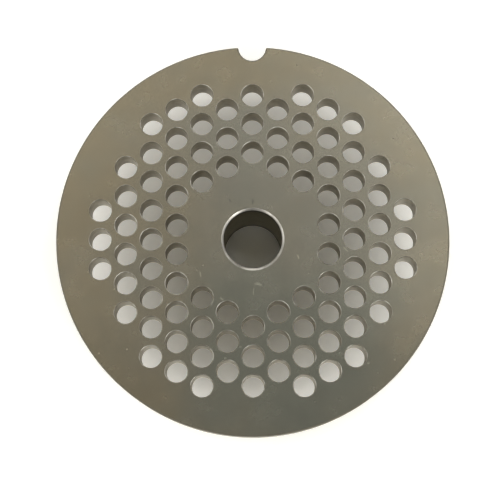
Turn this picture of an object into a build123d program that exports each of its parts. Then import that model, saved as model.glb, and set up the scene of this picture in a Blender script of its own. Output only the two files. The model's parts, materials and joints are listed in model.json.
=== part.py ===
from build123d import *
from math import ceil, hypot, sqrt
import os

# Meat grinder plate: a perforated steel disc with a short hub on its back, in millimetres.
# It stands on the end of its hub, with the origin where the bore's axis meets that end.
# +Z runs along the bore towards the cutting face, and +Y points at the locating notch in the rim.

# Driving dimensions
disc_diameter = 53.7      # a size 5 plate, an easy fit in a 54 mm housing
disc_thickness = 5.0
hub_diameter = 15.0
hub_length = 10.0         # how far the hub stands out of the disc's back
bore_diameter = 8.0       # runs on the worm's front stud
hole_diameter = 3.0
hole_pitch = 4.0          # between the centres of neighbouring holes
hub_margin = 1.2          # least solid metal between the hub and a hole
rim_margin = 3.8          # least solid metal between a hole and the rim
notch_diameter = 3.8      # half-round notch, centred on the rim
bore_lip_width = 0.3      # a flat chamfer at each end of the bore, wider than it is deep
bore_lip_depth = 0.17
rim_chamfer = 0.2
hub_chamfer = 0.5
hub_fillet = 0.8

# Derived sizes
disc_radius = disc_diameter / 2
hub_radius = hub_diameter / 2
bore_radius = bore_diameter / 2
hole_radius = hole_diameter / 2
back_face = hub_length
cutting_face = hub_length + disc_thickness
first_ring = hub_radius + hub_margin + hole_radius
last_ring = disc_radius - rim_margin - hole_radius


def turned_blank():
    """The disc, hub and bore as one turned profile, with its edges broken."""
    profile = Polyline(
        (bore_radius + bore_lip_width, 0),
        (hub_radius - hub_chamfer, 0),
        (hub_radius, hub_chamfer),
        (hub_radius, back_face),
        (disc_radius - rim_chamfer, back_face),
        (disc_radius, back_face + rim_chamfer),
        (disc_radius, cutting_face - rim_chamfer),
        (disc_radius - rim_chamfer, cutting_face),
        (bore_radius + bore_lip_width, cutting_face),
        (bore_radius, cutting_face - bore_lip_depth),
        (bore_radius, bore_lip_depth),
        close=True,
    )
    section = make_face(profile)
    root = section.vertices().sort_by_distance(Vertex(hub_radius, back_face, 0))[0]
    section = fillet(root, hub_fillet)
    return revolve(Plane.XZ * section, Axis.Z)


def hole_centres():
    """Points of a triangular lattice, in columns along Y, that lie in the ring between hub and rim."""
    column_gap = hole_pitch * sqrt(3) / 2
    columns = ceil(last_ring / column_gap)
    rows = ceil(last_ring / hole_pitch)
    centres = []
    for column in range(-columns, columns + 1):
        stagger = hole_pitch / 2 if column % 2 else 0
        for row in range(-rows - 1, rows + 1):
            x = column * column_gap
            y = row * hole_pitch + stagger
            if first_ring <= hypot(x, y) <= last_ring:
                centres.append((x, y))
    return centres


def perforations():
    """The holes' cutters, one straight drill through the disc at each lattice point."""
    drills = Sketch() + Locations(*hole_centres()) * Circle(hole_radius)
    return extrude(Plane.XY.offset(cutting_face) * drills, -disc_thickness)


def rim_notch():
    """The half-round slot in the rim that keeps the plate from turning with the knife."""
    cutter = Pos(0, disc_radius) * Circle(notch_diameter / 2)
    return extrude(Plane.XY.offset(cutting_face) * cutter, -disc_thickness)


grinder_plate = turned_blank() - perforations() - rim_notch()

os.makedirs("parts", exist_ok=True)
export_step(grinder_plate, "parts/grinder_plate.step")
print("holes:", len(hole_centres()), " volume:", round(grinder_plate.volume, 1), "mm3")
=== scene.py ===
"""Meat grinder plate: the ground and drilled steel disc, standing on its hub, in metres."""
import bmesh
import bpy
import json
import math
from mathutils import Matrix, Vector


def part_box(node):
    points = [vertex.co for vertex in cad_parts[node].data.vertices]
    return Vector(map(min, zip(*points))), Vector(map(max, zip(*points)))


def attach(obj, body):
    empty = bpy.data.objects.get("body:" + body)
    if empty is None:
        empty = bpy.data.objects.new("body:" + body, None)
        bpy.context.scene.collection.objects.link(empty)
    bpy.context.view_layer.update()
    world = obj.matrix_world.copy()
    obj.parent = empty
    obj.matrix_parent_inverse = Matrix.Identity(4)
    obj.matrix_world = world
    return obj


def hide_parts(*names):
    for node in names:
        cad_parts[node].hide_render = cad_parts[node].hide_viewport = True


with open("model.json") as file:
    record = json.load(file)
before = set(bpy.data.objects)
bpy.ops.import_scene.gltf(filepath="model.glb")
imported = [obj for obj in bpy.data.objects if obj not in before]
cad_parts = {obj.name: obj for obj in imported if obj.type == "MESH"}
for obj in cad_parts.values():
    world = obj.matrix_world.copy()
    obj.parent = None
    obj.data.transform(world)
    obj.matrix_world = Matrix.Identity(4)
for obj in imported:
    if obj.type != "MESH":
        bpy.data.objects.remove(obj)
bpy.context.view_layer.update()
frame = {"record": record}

MM = 0.001

# ---- Sizes, from the frame where it holds them --------------------------------------------------

mounts = {mount["name"]: mount["dims"] for mount in frame["record"]["mounts"]}
disc_radius = mounts["rim_seat"]["r_mm"] * MM
bore_radius = mounts["bore"]["r_mm"] * MM
hub_radius = mounts["hub_outside"]["r_mm"] * MM
cutting_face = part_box("grinder_plate")[1][2]

rim_chamfer = 0.2 * MM
hub_chamfer = 0.5 * MM
hub_fillet = 0.8 * MM
disc_thickness = mounts["rim_seat"]["length_mm"] * MM + 2 * rim_chamfer
back_face = cutting_face - disc_thickness
bore_lip_width = 0.3 * MM
bore_lip_depth = 0.17 * MM
notch_radius = 1.9 * MM
hole_radius = 1.5 * MM
hole_pitch = 4.0 * MM
hub_margin = 1.2 * MM      # least metal between the hub and a hole
rim_margin = 3.8 * MM      # least metal between a hole and the rim
first_ring = hub_radius + hub_margin + hole_radius
last_ring = disc_radius - rim_margin - hole_radius

hole_edge = 0.09 * MM      # the drilled holes' edges, rounded by deburring and use
notch_corner = 0.22 * MM   # the notch's two corners at the rim, rounded
soft_edge = 0.05 * MM      # every other corner that was turned

# points round each ring, and steps in each rounded corner
HOLE_POINTS = 44
BORE_POINTS = 160
RIM_POINTS = 300
NOTCH_POINTS = 25
HOLE_EDGE_STEPS = 3
NOTCH_CORNER_STEPS = 3
SOFT_EDGE_STEPS = 2
FILLET_STEPS = 8

# ---- Node trees ---------------------------------------------------------------------------------


class Number:
    """A number inside a node tree, so that what is worked out from it reads as plain arithmetic."""

    def __init__(self, tree, socket):
        self.tree = tree
        self.socket = socket

    def calculate(self, operation, *others):
        """The number after one operation of a Math node."""
        values = {i + 1: other for i, other in enumerate(others)}
        node = add(self.tree, "ShaderNodeMath", {0: self, **values}, operation=operation)
        return Number(self.tree, node.outputs[0])

    def __add__(self, other):
        return self.calculate("ADD", other)

    def __sub__(self, other):
        return self.calculate("SUBTRACT", other)

    def __mul__(self, other):
        return self.calculate("MULTIPLY", other)

    def __truediv__(self, other):
        return self.calculate("DIVIDE", other)

    def __neg__(self):
        return self.calculate("MULTIPLY", -1.0)


def plug(tree, value, socket):
    """A number, a node's output or a plain value, given to a socket."""
    source = value.socket if isinstance(value, Number) else value
    if isinstance(source, bpy.types.NodeSocket):
        tree.links.new(source, socket)
    else:
        socket.default_value = source


def add(tree, kind, inputs=None, **settings):
    """A node with its settings, and its inputs by name or number. A list gives one input several links."""
    node = tree.nodes.new(kind)
    for name, value in settings.items():
        setattr(node, name, value)
    for key, value in (inputs or {}).items():
        for item in value if isinstance(value, list) else [value]:
            plug(tree, item, node.inputs[key])
    return node


def vector(tree, x, y, z=0.0):
    return add(tree, "ShaderNodeCombineXYZ", {0: x, 1: y, 2: z}).outputs[0]


# ---- The shape ----------------------------------------------------------------------------------


def choose(tree, kind, index, items):
    """One of several values, by index."""
    node = tree.nodes.new("GeometryNodeIndexSwitch")
    node.data_type = kind
    while len(node.index_switch_items) < len(items):
        node.index_switch_items.new()
    tree.links.new(index, node.inputs[0])
    for number, item in enumerate(items):
        plug(tree, item, node.inputs[number + 1])
    return node.outputs[0]


def rounded(tree, curve, radius, steps):
    """The curve with its corners cut, in one step, or rounded, in several."""
    inputs = {"Curve": curve, "Count": steps, "Radius": radius, "Limit Radius": True}
    return add(tree, "GeometryNodeFilletCurve", inputs, mode="POLY").outputs[0]


def turned_profile(tree, corners, cuts, steps):
    """A profile through corners, each cut or rounded by its radius in that many steps.

    A corner is its distance outwards from the ring that the profile is swept round, and its height.
    The sweep takes X outwards and Y downwards, so heights change their sign here.
    """
    index = add(tree, "GeometryNodeInputIndex").outputs[0]
    line = add(tree, "GeometryNodeMeshLine", {"Count": len(corners)}).outputs[0]
    places = [vector(tree, radius, -height) for radius, height in corners]
    place = choose(tree, "VECTOR", index, places)
    line = add(tree, "GeometryNodeSetPosition", {"Geometry": line, "Position": place}).outputs[0]
    curve = add(tree, "GeometryNodeMeshToCurve", {"Mesh": line}).outputs[0]
    cut = choose(tree, "FLOAT", index, cuts)
    return rounded(tree, curve, cut, choose(tree, "INT", index, steps))


def swept(tree, ring, profile):
    """A wall: the profile carried round a ring that runs anticlockwise."""
    ring = add(tree, "GeometryNodeSetCurveNormal", {"Curve": ring}, mode="Z_UP").outputs[0]
    return add(tree, "GeometryNodeCurveToMesh", {"Curve": ring, "Profile Curve": profile}).outputs[0]


def circle(tree, radius, points):
    inputs = {"Resolution": points, "Radius": radius}
    return add(tree, "GeometryNodeCurvePrimitiveCircle", inputs, mode="RADIUS").outputs[0]


def lattice_points(tree, size):
    """The hole centres: a triangular lattice in columns along Y, kept between two rings."""
    column_share = math.sqrt(3) / 2     # from one column to the next, in pitches
    across = math.ceil(last_ring / (hole_pitch * column_share))
    along = math.ceil(last_ring / hole_pitch)
    columns, rows = 2 * across + 1, 2 * along + 1
    index = Number(tree, add(tree, "GeometryNodeInputIndex").outputs[0])
    column = (index / rows).calculate("FLOOR") - across
    row = index.calculate("MODULO", rows) - along
    odd = column.calculate("PINGPONG", 1.0)
    x = column * size["Hole Pitch"] * column_share
    y = (row + odd * 0.5) * size["Hole Pitch"]
    inputs = {"Count": columns * rows, "Position": vector(tree, x, y)}
    points = add(tree, "GeometryNodePoints", inputs).outputs[0]
    place = add(tree, "GeometryNodeInputPosition").outputs[0]
    reach = add(tree, "ShaderNodeVectorMath", {0: place}, operation="LENGTH").outputs["Value"]
    reach = Number(tree, reach)
    too_near = reach.calculate("LESS_THAN", size["First Ring"])
    too_far = reach.calculate("GREATER_THAN", size["Last Ring"])
    inputs = {"Geometry": points, "Selection": too_near + too_far}
    return add(tree, "GeometryNodeDeleteGeometry", inputs, domain="POINT").outputs[0]


def notched_ring(tree, size):
    """The disc's outline: a circle with a half-round notch centred on it, at +Y."""
    radius, notch = size["Disc Radius"], size["Notch Radius"]
    index = Number(tree, add(tree, "GeometryNodeInputIndex").outputs[0])
    spread = (notch / radius / 2).calculate("ARCSINE") * 2
    # round the notch, from its right-hand corner to its left-hand one
    turn = index / (NOTCH_POINTS - 1) * (spread - math.pi) - spread / 2
    in_notch = vector(
        tree,
        turn.calculate("COSINE") * notch,
        turn.calculate("SINE") * notch + radius,
    )
    # and on round the rim, back to the right-hand corner
    share = (index - (NOTCH_POINTS - 1)) / (RIM_POINTS + 1)
    turn = share * (-(spread * 2) + math.tau) + spread + math.pi / 2
    on_rim = vector(tree, turn.calculate("COSINE") * radius, turn.calculate("SINE") * radius)
    past_notch = index.calculate("GREATER_THAN", NOTCH_POINTS - 0.5)
    inputs = {"Switch": past_notch, "False": in_notch, "True": on_rim}
    place = add(tree, "GeometryNodeSwitch", inputs, input_type="VECTOR").outputs[0]
    ring = circle(tree, radius, NOTCH_POINTS + RIM_POINTS)
    ring = add(tree, "GeometryNodeSetPosition", {"Geometry": ring, "Position": place}).outputs[0]
    first = index.calculate("LESS_THAN", 0.5)
    last = index.calculate("COMPARE", NOTCH_POINTS - 1.0, 0.5)
    corner = (first + last) * size["Notch Corner"]
    return rounded(tree, ring, corner, NOTCH_CORNER_STEPS)


def finished_in(tree, shape, material):
    """A shape with its material."""
    inputs = {"Geometry": shape, "Material": material}
    return add(tree, "GeometryNodeSetMaterial", inputs).outputs[0]


def flat_between(tree, walls, middle, height, above, material):
    """The flat face that joins the walls' open edges on one side of the disc's middle."""
    # an open edge has one face, and any other has two
    faces = add(tree, "GeometryNodeInputMeshEdgeNeighbors").outputs[0]
    open_edge = Number(tree, faces).calculate("LESS_THAN", 1.5)
    place = add(tree, "GeometryNodeInputPosition").outputs[0]
    z = Number(tree, add(tree, "ShaderNodeSeparateXYZ", {0: place}).outputs[2])
    on_side = z.calculate("GREATER_THAN" if above else "LESS_THAN", middle)
    edges = {"Mesh": walls, "Selection": open_edge * on_side}
    loops = add(tree, "GeometryNodeMeshToCurve", edges).outputs[0]
    # the loops are filled at the hub's end, and the flat is lifted from there
    flat = add(tree, "GeometryNodeFillCurve", {"Curve": loops}, mode="TRIANGLES").outputs[0]
    offset = vector(tree, 0.0, 0.0, height)
    flat = add(tree, "GeometryNodeSetPosition", {"Geometry": flat, "Offset": offset}).outputs[0]
    flat = finished_in(tree, flat, material)
    return add(tree, "GeometryNodeSetShadeSmooth", {"Geometry": flat, "Shade Smooth": False}).outputs[0]


def hole_walls(tree, size, material):
    """A drilled wall at each hole centre, with its edges rounded into both faces."""
    edge, top, back = size["Hole Edge"], size["Cutting Face"], size["Back Face"]
    profile = turned_profile(
        tree,
        corners=[(edge, top), (0.0, top), (0.0, back), (edge, back)],
        cuts=[0.0, edge, edge, 0.0],
        steps=[1, HOLE_EDGE_STEPS, HOLE_EDGE_STEPS, 1],
    )
    # outwards is into the metal at a hole, so its wall is swept round a ring of the hole's radius
    hole = swept(tree, circle(tree, size["Hole Radius"], HOLE_POINTS), profile)
    inputs = {"Points": lattice_points(tree, size), "Instance": hole}
    holes = add(tree, "GeometryNodeInstanceOnPoints", inputs).outputs[0]
    holes = add(tree, "GeometryNodeRealizeInstances", {"Geometry": holes}).outputs[0]
    return finished_in(tree, holes, material)


def rim_wall(tree, size, material):
    """The chamfered rim and its notch."""
    chamfer, top, back = size["Rim Chamfer"], size["Cutting Face"], size["Back Face"]
    profile = turned_profile(
        tree,
        corners=[(-chamfer, top), (0.0, top), (0.0, back), (-chamfer, back)],
        cuts=[0.0, chamfer, chamfer, 0.0],
        steps=[1, 1, 1, 1],
    )
    profile = rounded(tree, profile, size["Soft Edge"], SOFT_EDGE_STEPS)
    return finished_in(tree, swept(tree, notched_ring(tree, size), profile), material)


def hub_and_bore_walls(tree, size, material):
    """The bore with its lips, the hub's end and the hub's outside, up to its fillet under the disc."""
    bore, top, back = size["Bore Radius"], size["Cutting Face"], size["Back Face"]
    wall = size["Hub Radius"] - bore
    lip, lip_depth = size["Bore Lip Width"], size["Bore Lip Depth"]
    profile = turned_profile(
        tree,
        corners=[
            (lip, top),
            (0.0, top - lip_depth),
            (0.0, lip_depth),
            (lip, 0.0),
            (wall, 0.0),
            (wall, back),
            (wall + size["Hub Fillet"], back),
        ],
        cuts=[0.0, 0.0, 0.0, 0.0, size["Hub Chamfer"], size["Hub Fillet"], 0.0],
        steps=[1, 1, 1, 1, 1, FILLET_STEPS, 1],
    )
    profile = rounded(tree, profile, size["Soft Edge"], SOFT_EDGE_STEPS)
    return finished_in(tree, swept(tree, circle(tree, bore, BORE_POINTS), profile), material)


PLATE_SIZES = {
    "Disc Radius": disc_radius,
    "Cutting Face": cutting_face,
    "Back Face": back_face,
    "Hub Radius": hub_radius,
    "Bore Radius": bore_radius,
    "Hole Radius": hole_radius,
    "Hole Pitch": hole_pitch,
    "First Ring": first_ring,
    "Last Ring": last_ring,
    "Notch Radius": notch_radius,
    "Notch Corner": notch_corner,
    "Bore Lip Width": bore_lip_width,
    "Bore Lip Depth": bore_lip_depth,
    "Rim Chamfer": rim_chamfer,
    "Hub Chamfer": hub_chamfer,
    "Hub Fillet": hub_fillet,
    "Hole Edge": hole_edge,
    "Soft Edge": soft_edge,
}
SHARP_BEND = math.radians(50)     # an edge that bends more than this is shaded as a corner
WELD = 0.002 * MM                 # points closer than this are one


def plate_tree(ground, drilled, turned):
    """The perforated plate: walls swept round each hole, the rim and the hub, closed by two flats."""
    tree = bpy.data.node_groups.new("perforated_plate", "GeometryNodeTree")
    tree.interface.new_socket("Geometry", in_out="INPUT", socket_type="NodeSocketGeometry")
    for name in PLATE_SIZES:
        tree.interface.new_socket(name, in_out="INPUT", socket_type="NodeSocketFloat")
    tree.interface.new_socket("Geometry", in_out="OUTPUT", socket_type="NodeSocketGeometry")
    given = tree.nodes.new("NodeGroupInput")
    size = {name: Number(tree, given.outputs[name]) for name in PLATE_SIZES}

    walls = [
        hole_walls(tree, size, drilled),
        rim_wall(tree, size, turned),
        hub_and_bore_walls(tree, size, turned),
    ]
    walls = add(tree, "GeometryNodeJoinGeometry", {"Geometry": walls}).outputs[0]
    top, back = size["Cutting Face"], size["Back Face"]
    middle = (top + back) / 2
    cutting_flat = flat_between(tree, walls, middle, top, True, ground)
    back_flat = flat_between(tree, walls, middle, back, False, ground)

    bend = Number(tree, add(tree, "GeometryNodeInputMeshEdgeAngle").outputs[0])
    sharp = bend.calculate("GREATER_THAN", SHARP_BEND)
    inputs = {"Geometry": walls, "Selection": sharp, "Shade Smooth": False}
    walls = add(tree, "GeometryNodeSetShadeSmooth", inputs, domain="EDGE").outputs[0]
    pieces = {"Geometry": [walls, cutting_flat, back_flat]}
    plate = add(tree, "GeometryNodeJoinGeometry", pieces).outputs[0]
    plate = add(tree, "GeometryNodeMergeByDistance", {"Geometry": plate, "Distance": WELD}).outputs[0]
    plate = add(tree, "GeometryNodeRealizeInstances", {"Geometry": plate}).outputs[0]
    add(tree, "NodeGroupOutput", {"Geometry": plate})
    return tree


def made_by(tree, name, sizes):
    """A plain mesh object from a geometry tree and its sizes."""
    empty = bpy.data.meshes.new(name + "_start")
    piece = bpy.data.objects.new(name, empty)
    bpy.context.collection.objects.link(piece)
    modifier = piece.modifiers.new("shape", "NODES")
    modifier.node_group = tree
    for item in tree.interface.items_tree:
        if item.in_out == "INPUT" and item.name in sizes:
            modifier[item.identifier] = sizes[item.name]
    evaluated = piece.evaluated_get(bpy.context.evaluated_depsgraph_get())
    mesh = bpy.data.meshes.new_from_object(evaluated)
    piece.modifiers.remove(modifier)
    shape = bmesh.new()
    shape.from_mesh(mesh)
    bmesh.ops.recalc_face_normals(shape, faces=shape.faces)
    shape.to_mesh(mesh)
    shape.free()
    mesh.name = name
    piece.data = mesh
    bpy.data.meshes.remove(empty)
    return piece


# ---- Finishes: colours, and sizes and heights in millimetres ------------------------------------

STEEL = (0.284, 0.268, 0.213)
STEEL_BROWN = (0.318, 0.268, 0.175)
STEEL_GREEN = (0.268, 0.268, 0.211)
DRILLED = (0.46, 0.42, 0.335)
DRILLED_DARK = (0.33, 0.30, 0.235)
WORN_EDGE = (0.19, 0.175, 0.14)
EDGE_PAINTED_GLINT = (0.52, 0.50, 0.44)
TURNED = (0.215, 0.20, 0.16)
TURNED_LIGHT = (0.255, 0.24, 0.195)
BORE_WALL = (0.27, 0.245, 0.165)
BORE_PAINTED_SHADE = (0.125, 0.11, 0.09)
WORN_LIP = (0.34, 0.32, 0.275)
BRIGHT_LIP = (0.54, 0.52, 0.46)
NOTCH_AND_CHAMFER_PAINTED_SHADE = (0.12, 0.11, 0.085)

GROUND_ROUGHNESS = 0.27
DRILLED_ROUGHNESS = 0.44
WORN_EDGE_ROUGHNESS = 0.36
TURNED_ROUGHNESS = 0.42
LIP_ROUGHNESS = 0.33

FACE_HEIGHT = cutting_face / MM
BACK_HEIGHT = back_face / MM
MIDDLE_HEIGHT = (FACE_HEIGHT + BACK_HEIGHT) / 2

# where the ground faces turn brown, as distances from the bore's axis and as places along X
RIM_BROWN = (14.0, 27.0)
RIM_BROWN_FADES = (-22.0, 30.0)
SIDE_BROWN = (2.0, -26.0)
COLOUR_COMES_IN = (-0.25, 1.0)      # from no stain to a full one, as the stain's strength

# marks on the cutting face, each with its centre, how far it reaches and how far its edge blurs: an oil
# stain that is also a painted dark reflection, and two patches of painted sheen
OILED_AND_DARK_REFLECTION = ((5.0, -18.0), 13.0, 8.0)
PAINTED_SHEEN_RIGHT = ((24.0, -7.0), 8.0, 7.0)
PAINTED_SHEEN_LEFT = ((-25.0, -9.0), 7.0, 7.0)
EDGE_WANDERS = 14.0                 # how far such a mark's edge strays in and out

# scratches on the cutting face, each with its start, end and width
LIGHT_SCRATCHES = [
    ((0.3, -6.15), (1.1, -6.30), 0.13),
    ((0.5, -6.00), (0.9, -6.05), 0.10),
    ((0.10, -6.8), (0.05, -7.6), 0.08),
    ((-7.2, -4.5), (-7.1, -5.1), 0.12),
    ((6.10, -2.2), (6.25, -2.7), 0.10),
    ((-4.4, -8.05), (-4.1, -8.3), 0.15),
    ((12.4, -1.2), (12.9, -1.7), 0.09),
]
DARK_SCRATCHES = [
    ((0.05, 5.4), (0.0, 4.95), 0.12),
    ((-3.2, 5.5), (-3.0, 5.2), 0.09),
]


def surface(name):
    """A new metal, its tree and shader, and a place on the piece in millimetres."""
    material = bpy.data.materials.new(name)
    material.use_nodes = True
    tree = material.node_tree
    shader = tree.nodes["Principled BSDF"]
    shader.inputs["Metallic"].default_value = 1.0
    place = add(tree, "ShaderNodeTexCoord").outputs["Object"]
    inputs = {"Vector": place, "Scale": (1 / MM, 1 / MM, 1 / MM)}
    place = add(tree, "ShaderNodeMapping", inputs).outputs[0]
    return material, tree, shader, place


def coordinates(tree, place):
    """A place's X, Y and height."""
    parts = add(tree, "ShaderNodeSeparateXYZ", {0: place})
    return [Number(tree, parts.outputs[i]) for i in range(3)]


def from_axis(x, y):
    """The distance from the bore's axis."""
    return (x * x + y * y).calculate("SQRT")


def noise(tree, place, size, detail=2.0, shift=0.0, stretch=(1.0, 1.0, 1.0)):
    """Soft random patches about as large as size, from 0 to 1."""
    shifted = {"Vector": place, "Location": (shift, shift, shift), "Scale": stretch}
    place = add(tree, "ShaderNodeMapping", shifted).outputs[0]
    inputs = {"Vector": place, "Scale": 1.0 / size, "Detail": detail, "Roughness": 0.55}
    return Number(tree, add(tree, "ShaderNodeTexNoise", inputs).outputs[0])


def swing(patches, amount):
    """Random patches that go as far below zero as above it."""
    return (patches - 0.5) * amount


def ramp(tree, value, low, high, out_low=0.0, out_high=1.0):
    """A value carried smoothly from one range to another, and held at its ends."""
    inputs = {"Value": value, "From Min": low, "From Max": high, "To Min": out_low, "To Max": out_high}
    node = add(tree, "ShaderNodeMapRange", inputs, interpolation_type="SMOOTHSTEP")
    return Number(tree, node.outputs[0])


def tinted(tree, share, first, second):
    """A colour between two others, each a colour or the output of a node."""
    node = tree.nodes.new("ShaderNodeMix")
    node.data_type = "RGBA"
    plug(tree, share, node.inputs[0])
    first_colour, second_colour = node.inputs[6], node.inputs[7]
    for colour, socket in ((first, first_colour), (second, second_colour)):
        plug(tree, (*colour, 1.0) if isinstance(colour, tuple) else colour, socket)
    return node.outputs[2]


def scaled(tree, colour, factor):
    """A colour made lighter or darker."""
    inputs = {0: colour, "Scale": factor}
    return add(tree, "ShaderNodeVectorMath", inputs, operation="SCALE").outputs[0]


def specks(tree, place, spacing, size, share, shift=0.0):
    """Small round marks at a share of scattered spots, 1 at the middle of each and 0 between them."""
    moved = add(tree, "ShaderNodeMapping", {"Vector": place, "Location": (shift, shift, 0.0)}).outputs[0]
    inputs = {"Vector": moved, "Scale": 1.0 / spacing}
    cells = add(tree, "ShaderNodeTexVoronoi", inputs)
    near = ramp(tree, Number(tree, cells.outputs["Distance"]), size / spacing, 0.4 * size / spacing)
    chance = add(tree, "ShaderNodeSeparateColor", {0: cells.outputs["Color"]}).outputs[0]
    return near * Number(tree, chance).calculate("LESS_THAN", share)


def stain(tree, place, wander, centre, reach, blur):
    """A mark with a soft ragged edge, 1 round its centre and 0 outside its reach."""
    inputs = {0: place, 1: (*centre, FACE_HEIGHT)}
    away = add(tree, "ShaderNodeVectorMath", inputs, operation="DISTANCE").outputs["Value"]
    away = Number(tree, away) + swing(wander, EDGE_WANDERS)
    return ramp(tree, away, reach + blur, reach - blur)


def scratch(tree, place, start, end, width):
    """A straight thin mark on the cutting face, between two points."""
    along = [b - a for a, b in zip(start, end)]
    length = math.hypot(*along)
    from_start = {0: place, 1: (*start, FACE_HEIGHT)}
    from_start = add(tree, "ShaderNodeVectorMath", from_start, operation="SUBTRACT").outputs[0]
    inputs = {0: from_start, 1: (along[0] / length, along[1] / length, 0.0)}
    run = add(tree, "ShaderNodeVectorMath", inputs, operation="DOT_PRODUCT").outputs["Value"]
    run = Number(tree, run).calculate("MAXIMUM", 0.0).calculate("MINIMUM", length)
    nearest = vector(tree, run * (along[0] / length), run * (along[1] / length))
    inputs = {0: from_start, 1: nearest}
    away = add(tree, "ShaderNodeVectorMath", inputs, operation="DISTANCE").outputs["Value"]
    return ramp(tree, Number(tree, away), width, 0.3 * width)


def scratches(tree, place, marks):
    """All of some scratches together."""
    total = scratch(tree, place, *marks[0])
    for mark in marks[1:]:
        total = total + scratch(tree, place, *mark)
    return total


def finish(tree, shader, colour, roughness, height, depth):
    """Colour, roughness and relief on the shader, with the relief's full height given in millimetres."""
    tree.links.new(colour, shader.inputs["Base Color"])
    tree.links.new(roughness.socket, shader.inputs["Roughness"])
    inputs = {"Height": height, "Distance": depth * MM, "Strength": 1.0}
    bump = add(tree, "ShaderNodeBump", inputs).outputs[0]
    tree.links.new(bump, shader.inputs["Normal"])


def ground_faces():
    """The ground faces: dull, stained and a little pitted, with painted glints, and with a few scratches
    and patches of painted sheen and painted dark reflection on the cutting face.
    """
    material, tree, shader, place = surface("ground_faces")
    x, y, height = coordinates(tree, place)
    radius = from_axis(x, y)
    on_cutting_face = height.calculate("GREATER_THAN", MIDDLE_HEIGHT)
    drift = noise(tree, place, size=14.0, shift=3.0)
    brown = noise(tree, place, size=8.0, detail=3.0, shift=31.0)
    green = noise(tree, place, size=6.0, detail=3.0, shift=57.0)
    blotch = noise(tree, place, size=2.8, shift=11.0)
    grain = noise(tree, place, size=0.45, shift=7.0)
    satin = noise(tree, place, size=0.12, detail=3.0)
    pits = specks(tree, place, spacing=1.9, size=0.14, share=0.45)
    glints = specks(tree, place, spacing=2.7, size=0.10, share=0.40, shift=5.0)
    light_marks = scratches(tree, place, LIGHT_SCRATCHES)
    dark_marks = scratches(tree, place, DARK_SCRATCHES)

    # brown towards the rim, and more so on the side away from +X
    rim_brown = ramp(tree, radius + swing(drift, 8.0), *RIM_BROWN)
    rim_brown = rim_brown * ramp(tree, x, *RIM_BROWN_FADES, 1.0, 0.45)
    side_brown = ramp(tree, x + swing(drift, 16.0), *SIDE_BROWN)
    browned = rim_brown.calculate("MAXIMUM", side_brown) * 0.8 + swing(brown, 0.9)
    colour = tinted(tree, ramp(tree, browned, *COLOUR_COMES_IN), STEEL, STEEL_BROWN)

    # green-grey where oil has dulled it, and darker there as a painted dark reflection; lighter in two
    # patches of painted sheen
    oil_and_dark_reflection = stain(tree, place, drift, *OILED_AND_DARK_REFLECTION) * on_cutting_face
    greened = oil_and_dark_reflection * 0.75 + swing(green, 0.9)
    colour = tinted(tree, ramp(tree, greened, *COLOUR_COMES_IN), colour, STEEL_GREEN)
    # painted sheen: lighter patches on the right and lower left of the cutting face
    painted_sheen = stain(tree, place, drift, *PAINTED_SHEEN_RIGHT) + stain(tree, place, drift, *PAINTED_SHEEN_LEFT) * 0.5
    painted_sheen = painted_sheen * on_cutting_face

    # how light it is, with the back face darker than the cutting face
    light = swing(drift, 0.15) + swing(blotch, 0.12) + swing(grain, 0.16) + 1.0
    light = light * (-oil_and_dark_reflection * 0.12 + 1.0) * (painted_sheen * 0.2 + 1.0) * (on_cutting_face * 0.3 + 0.7)
    # painted glints: light specks added to the colour, along with the light scratches
    light = light * (-(pits + dark_marks) * 0.45 + 1.0) + glints * 0.4 + light_marks * 0.6
    roughness = swing(blotch, 0.03) + pits * 0.2 + GROUND_ROUGHNESS
    finish(tree, shader, scaled(tree, colour, light), roughness, satin * 0.06 - pits, depth=0.02)
    return material


def drilled_walls():
    """The holes' walls: rough from the drill, darker deeper in as painted shade, and worn at their edges,
    with painted glints in places.
    """
    material, tree, shader, place = surface("drilled_walls")
    height = coordinates(tree, place)[2]
    grime = noise(tree, place, size=1.2, detail=3.0, shift=19.0)
    wear = noise(tree, place, size=1.6, shift=43.0)
    rings = noise(tree, place, size=0.5, detail=3.0, stretch=(1.0, 1.0, 9.0))
    wall = tinted(tree, ramp(tree, grime, 0.3, 0.7), DRILLED_DARK, DRILLED)
    # painted shade: darker towards the back, deeper in each hole
    wall = scaled(tree, wall, ramp(tree, height, BACK_HEIGHT, FACE_HEIGHT, 0.88, 1.08))
    # worn edges, with painted glints where the wear noise is high
    edge = tinted(tree, ramp(tree, wear, 0.45, 0.68), WORN_EDGE, EDGE_PAINTED_GLINT)
    from_middle = (height - MIDDLE_HEIGHT).calculate("ABSOLUTE")
    to_face = FACE_HEIGHT - MIDDLE_HEIGHT
    at_edge = ramp(tree, from_middle, to_face - 0.13, to_face - 0.02)
    roughness = ramp(tree, at_edge, 0.0, 1.0, DRILLED_ROUGHNESS, WORN_EDGE_ROUGHNESS)
    finish(tree, shader, tinted(tree, at_edge, wall, edge), roughness, rings, depth=0.004)
    return material


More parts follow.
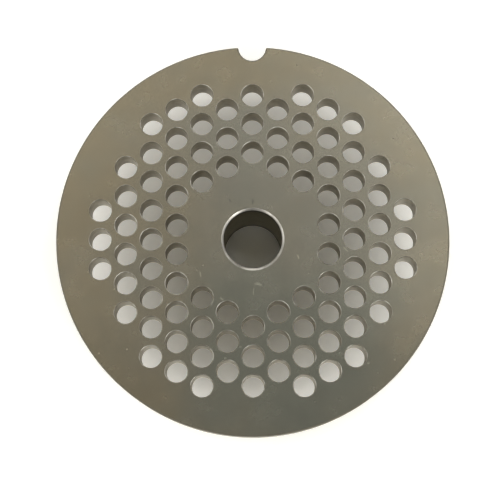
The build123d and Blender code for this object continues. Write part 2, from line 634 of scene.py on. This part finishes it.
def turned_faces():
    """The rim, hub and bore: fine turning lines, dull walls, bright worn lips at the bore's ends, and
    painted shade under the lips, in the notch and on the rim's chamfers.
    """
    material, tree, shader, place = surface("turned_faces")
    x, y, height = coordinates(tree, place)
    radius = from_axis(x, y)
    grime = noise(tree, place, size=2.0, detail=4.0, shift=71.0)
    wear = noise(tree, place, size=1.5, detail=3.0, shift=83.0)
    rings = noise(tree, place, size=0.8, detail=3.0, stretch=(0.15, 0.15, 4.0))
    fine = noise(tree, place, size=0.5, shift=37.0, stretch=(0.1, 0.1, 6.0))
    wall = tinted(tree, ramp(tree, grime, 0.3, 0.7), TURNED, TURNED_LIGHT)

    # the bore's wall and lips, with painted shade under each lip
    in_bore = radius.calculate("LESS_THAN", (bore_radius + bore_lip_width) / MM + 0.1)
    half_bore = FACE_HEIGHT / 2
    from_middle = (height - half_bore).calculate("ABSOLUTE")
    under_lip = ramp(tree, from_middle, half_bore - 2.2, half_bore - 0.5)
    wall = tinted(tree, in_bore, wall, tinted(tree, under_lip, BORE_WALL, BORE_PAINTED_SHADE))

    # painted shade on the notch and the rim's chamfers, which lie a little inside the rim
    inside_rim = radius.calculate("LESS_THAN", disc_radius / MM - 0.02)
    notch_and_chamfer_shade = radius.calculate("GREATER_THAN", disc_radius / MM - 2.5) * inside_rim
    wall = tinted(tree, notch_and_chamfer_shade, wall, NOTCH_AND_CHAMFER_PAINTED_SHADE)

    lip = ramp(tree, from_middle, half_bore - 0.28, half_bore - 0.15) * in_bore
    lip_steel = tinted(tree, ramp(tree, wear, 0.3, 0.7), WORN_LIP, BRIGHT_LIP)
    colour = tinted(tree, lip, wall, lip_steel)
    colour = scaled(tree, colour, swing(rings, 0.5) + swing(fine, 0.4) + 1.0)
    roughness = ramp(tree, lip, 0.0, 1.0, TURNED_ROUGHNESS, LIP_ROUGHNESS) + swing(grime, 0.15)
    finish(tree, shader, colour, roughness, rings, depth=0.004)
    return material


# ---- The plate ----------------------------------------------------------------------------------

shape_tree = plate_tree(ground_faces(), drilled_walls(), turned_faces())
plate = made_by(shape_tree, "ground_plate", PLATE_SIZES)
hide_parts("grinder_plate")
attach(plate, "root")

# ---- Floor, light and camera --------------------------------------------------------------------

FLOOR_HALF = 1.5                     # half the floor's side, in metres
FLOOR_COLOUR = 0.8                   # as it lights the plate
FLOOR_PAINTED_SHADOW = 1.12                 # as it is seen under the plate, lower, as a painted shadow
FLOOR_AROUND = 1.42                  # as it is seen round the plate, where it is white
FLOOR_TINT = (1.0, 0.985, 0.925)
FLOOR_SHADOW_FADE = (20.0 * MM, 30.0 * MM)  # the painted shadow fades from beneath to around, as distances from the bore's axis

SKY = 0.18
HORIZON = 1.0
HORIZON_FADE = (0.28, 0.08)          # from the sky to the horizon, as heights on a unit sphere

LAMP_DISTANCE = 0.66

CAMERA_LENS = 128.7
CAMERA_SENSOR = 36.0
CAMERA_PLACE = (-0.5 * MM, -33.5 * MM, cutting_face + 241.5 * MM)
CAMERA_TILT = 7.55                   # degrees from straight down
CAMERA_TURN = -0.2


def pale_floor():
    """A pale table top that looks white where nothing shades it, with a shadow painted under the plate."""
    material = bpy.data.materials.new("studio_floor")
    material.use_nodes = True
    tree = material.node_tree
    tree.nodes.clear()
    path = add(tree, "ShaderNodeLightPath")
    seen = Number(tree, path.outputs["Is Camera Ray"])
    seen = seen.calculate("MAXIMUM", path.outputs["Is Glossy Ray"])
    seen = seen.calculate("MAXIMUM", path.outputs["Is Transmission Ray"])
    place = add(tree, "ShaderNodeTexCoord").outputs["Object"]
    away = add(tree, "ShaderNodeVectorMath", {0: place}, operation="LENGTH").outputs["Value"]
    # painted shadow: the floor is seen darker beneath the plate than round it
    white = ramp(tree, Number(tree, away), *FLOOR_SHADOW_FADE, FLOOR_PAINTED_SHADOW, FLOOR_AROUND)
    shade = seen * (white - FLOOR_COLOUR) + FLOOR_COLOUR
    channels = {channel: shade * tint for channel, tint in enumerate(FLOOR_TINT)}
    colour = add(tree, "ShaderNodeCombineColor", channels).outputs[0]
    diffuse = add(tree, "ShaderNodeBsdfDiffuse", {"Color": colour}).outputs[0]
    add(tree, "ShaderNodeOutputMaterial", {"Surface": diffuse})
    return material


def floor_and_sky():
    """A pale floor, and a dim even sky that brightens at the horizon."""
    half = FLOOR_HALF
    corners = [(-half, -half, 0.0), (half, -half, 0.0), (half, half, 0.0), (-half, half, 0.0)]
    mesh = bpy.data.meshes.new("floor")
    mesh.from_pydata(corners, [], [(0, 1, 2, 3)])
    mesh.materials.append(pale_floor())
    floor = bpy.data.objects.new("floor", mesh)
    bpy.context.collection.objects.link(floor)

    world = bpy.data.worlds.new("studio")
    bpy.context.scene.world = world
    world.use_nodes = True
    sky = world.node_tree
    background = sky.nodes["Background"]
    background.inputs["Color"].default_value = (1.0, 1.0, 1.0, 1.0)
    direction = add(sky, "ShaderNodeTexCoord").outputs["Generated"]
    up = Number(sky, add(sky, "ShaderNodeSeparateXYZ", {0: direction}).outputs[2])
    light = ramp(sky, up.calculate("ABSOLUTE"), *HORIZON_FADE, SKY, HORIZON)
    sky.links.new(light.socket, background.inputs["Strength"])


def soft_lamp(name, bearing, slant, size, power):
    """A square lamp that faces the plate, at a bearing from +X and a slant from straight above."""
    turn, tilt = math.radians(bearing), math.radians(slant)
    away = Vector((math.sin(tilt) * math.cos(turn), math.sin(tilt) * math.sin(turn), math.cos(tilt)))
    data = bpy.data.lights.new(name, "AREA")
    data.size = size
    data.energy = power
    lamp = bpy.data.objects.new(name, data)
    bpy.context.collection.objects.link(lamp)
    lamp.location = Vector((0.0, 0.0, cutting_face)) + away * LAMP_DISTANCE
    lamp.rotation_euler = away.to_track_quat("Z", "Y").to_euler()


def camera():
    """A long lens a little in front of straight above the plate."""
    data = bpy.data.cameras.new("camera")
    data.lens = CAMERA_LENS
    data.sensor_width = CAMERA_SENSOR
    data.clip_start = 0.01
    view = bpy.data.objects.new("camera", data)
    bpy.context.collection.objects.link(view)
    view.location = CAMERA_PLACE
    view.rotation_euler = (math.radians(CAMERA_TILT), 0.0, math.radians(CAMERA_TURN))
    bpy.context.scene.camera = view


floor_and_sky()
soft_lamp("top_softbox", bearing=90, slant=8, size=0.22, power=0.04)
soft_lamp("back_right_softbox", bearing=45, slant=29, size=0.30, power=0.75)
soft_lamp("back_left_softbox", bearing=135, slant=29, size=0.30, power=0.40)
soft_lamp("front_softbox", bearing=-90, slant=29, size=0.30, power=0.30)
soft_lamp("right_softbox", bearing=0, slant=46, size=0.34, power=0.50)
soft_lamp("left_softbox", bearing=180, slant=46, size=0.34, power=1.00)
soft_lamp("front_right_softbox", bearing=-45, slant=46, size=0.34, power=1.45)
soft_lamp("front_left_softbox", bearing=-135, slant=46, size=0.34, power=1.00)
soft_lamp("low_back_softbox", bearing=90, slant=66, size=0.36, power=0.60)
soft_lamp("low_left_softbox", bearing=135, slant=66, size=0.36, power=0.35)
soft_lamp("low_right_softbox", bearing=45, slant=66, size=0.36, power=0.25)
camera()
bpy.context.scene.view_settings.view_transform = "Standard"
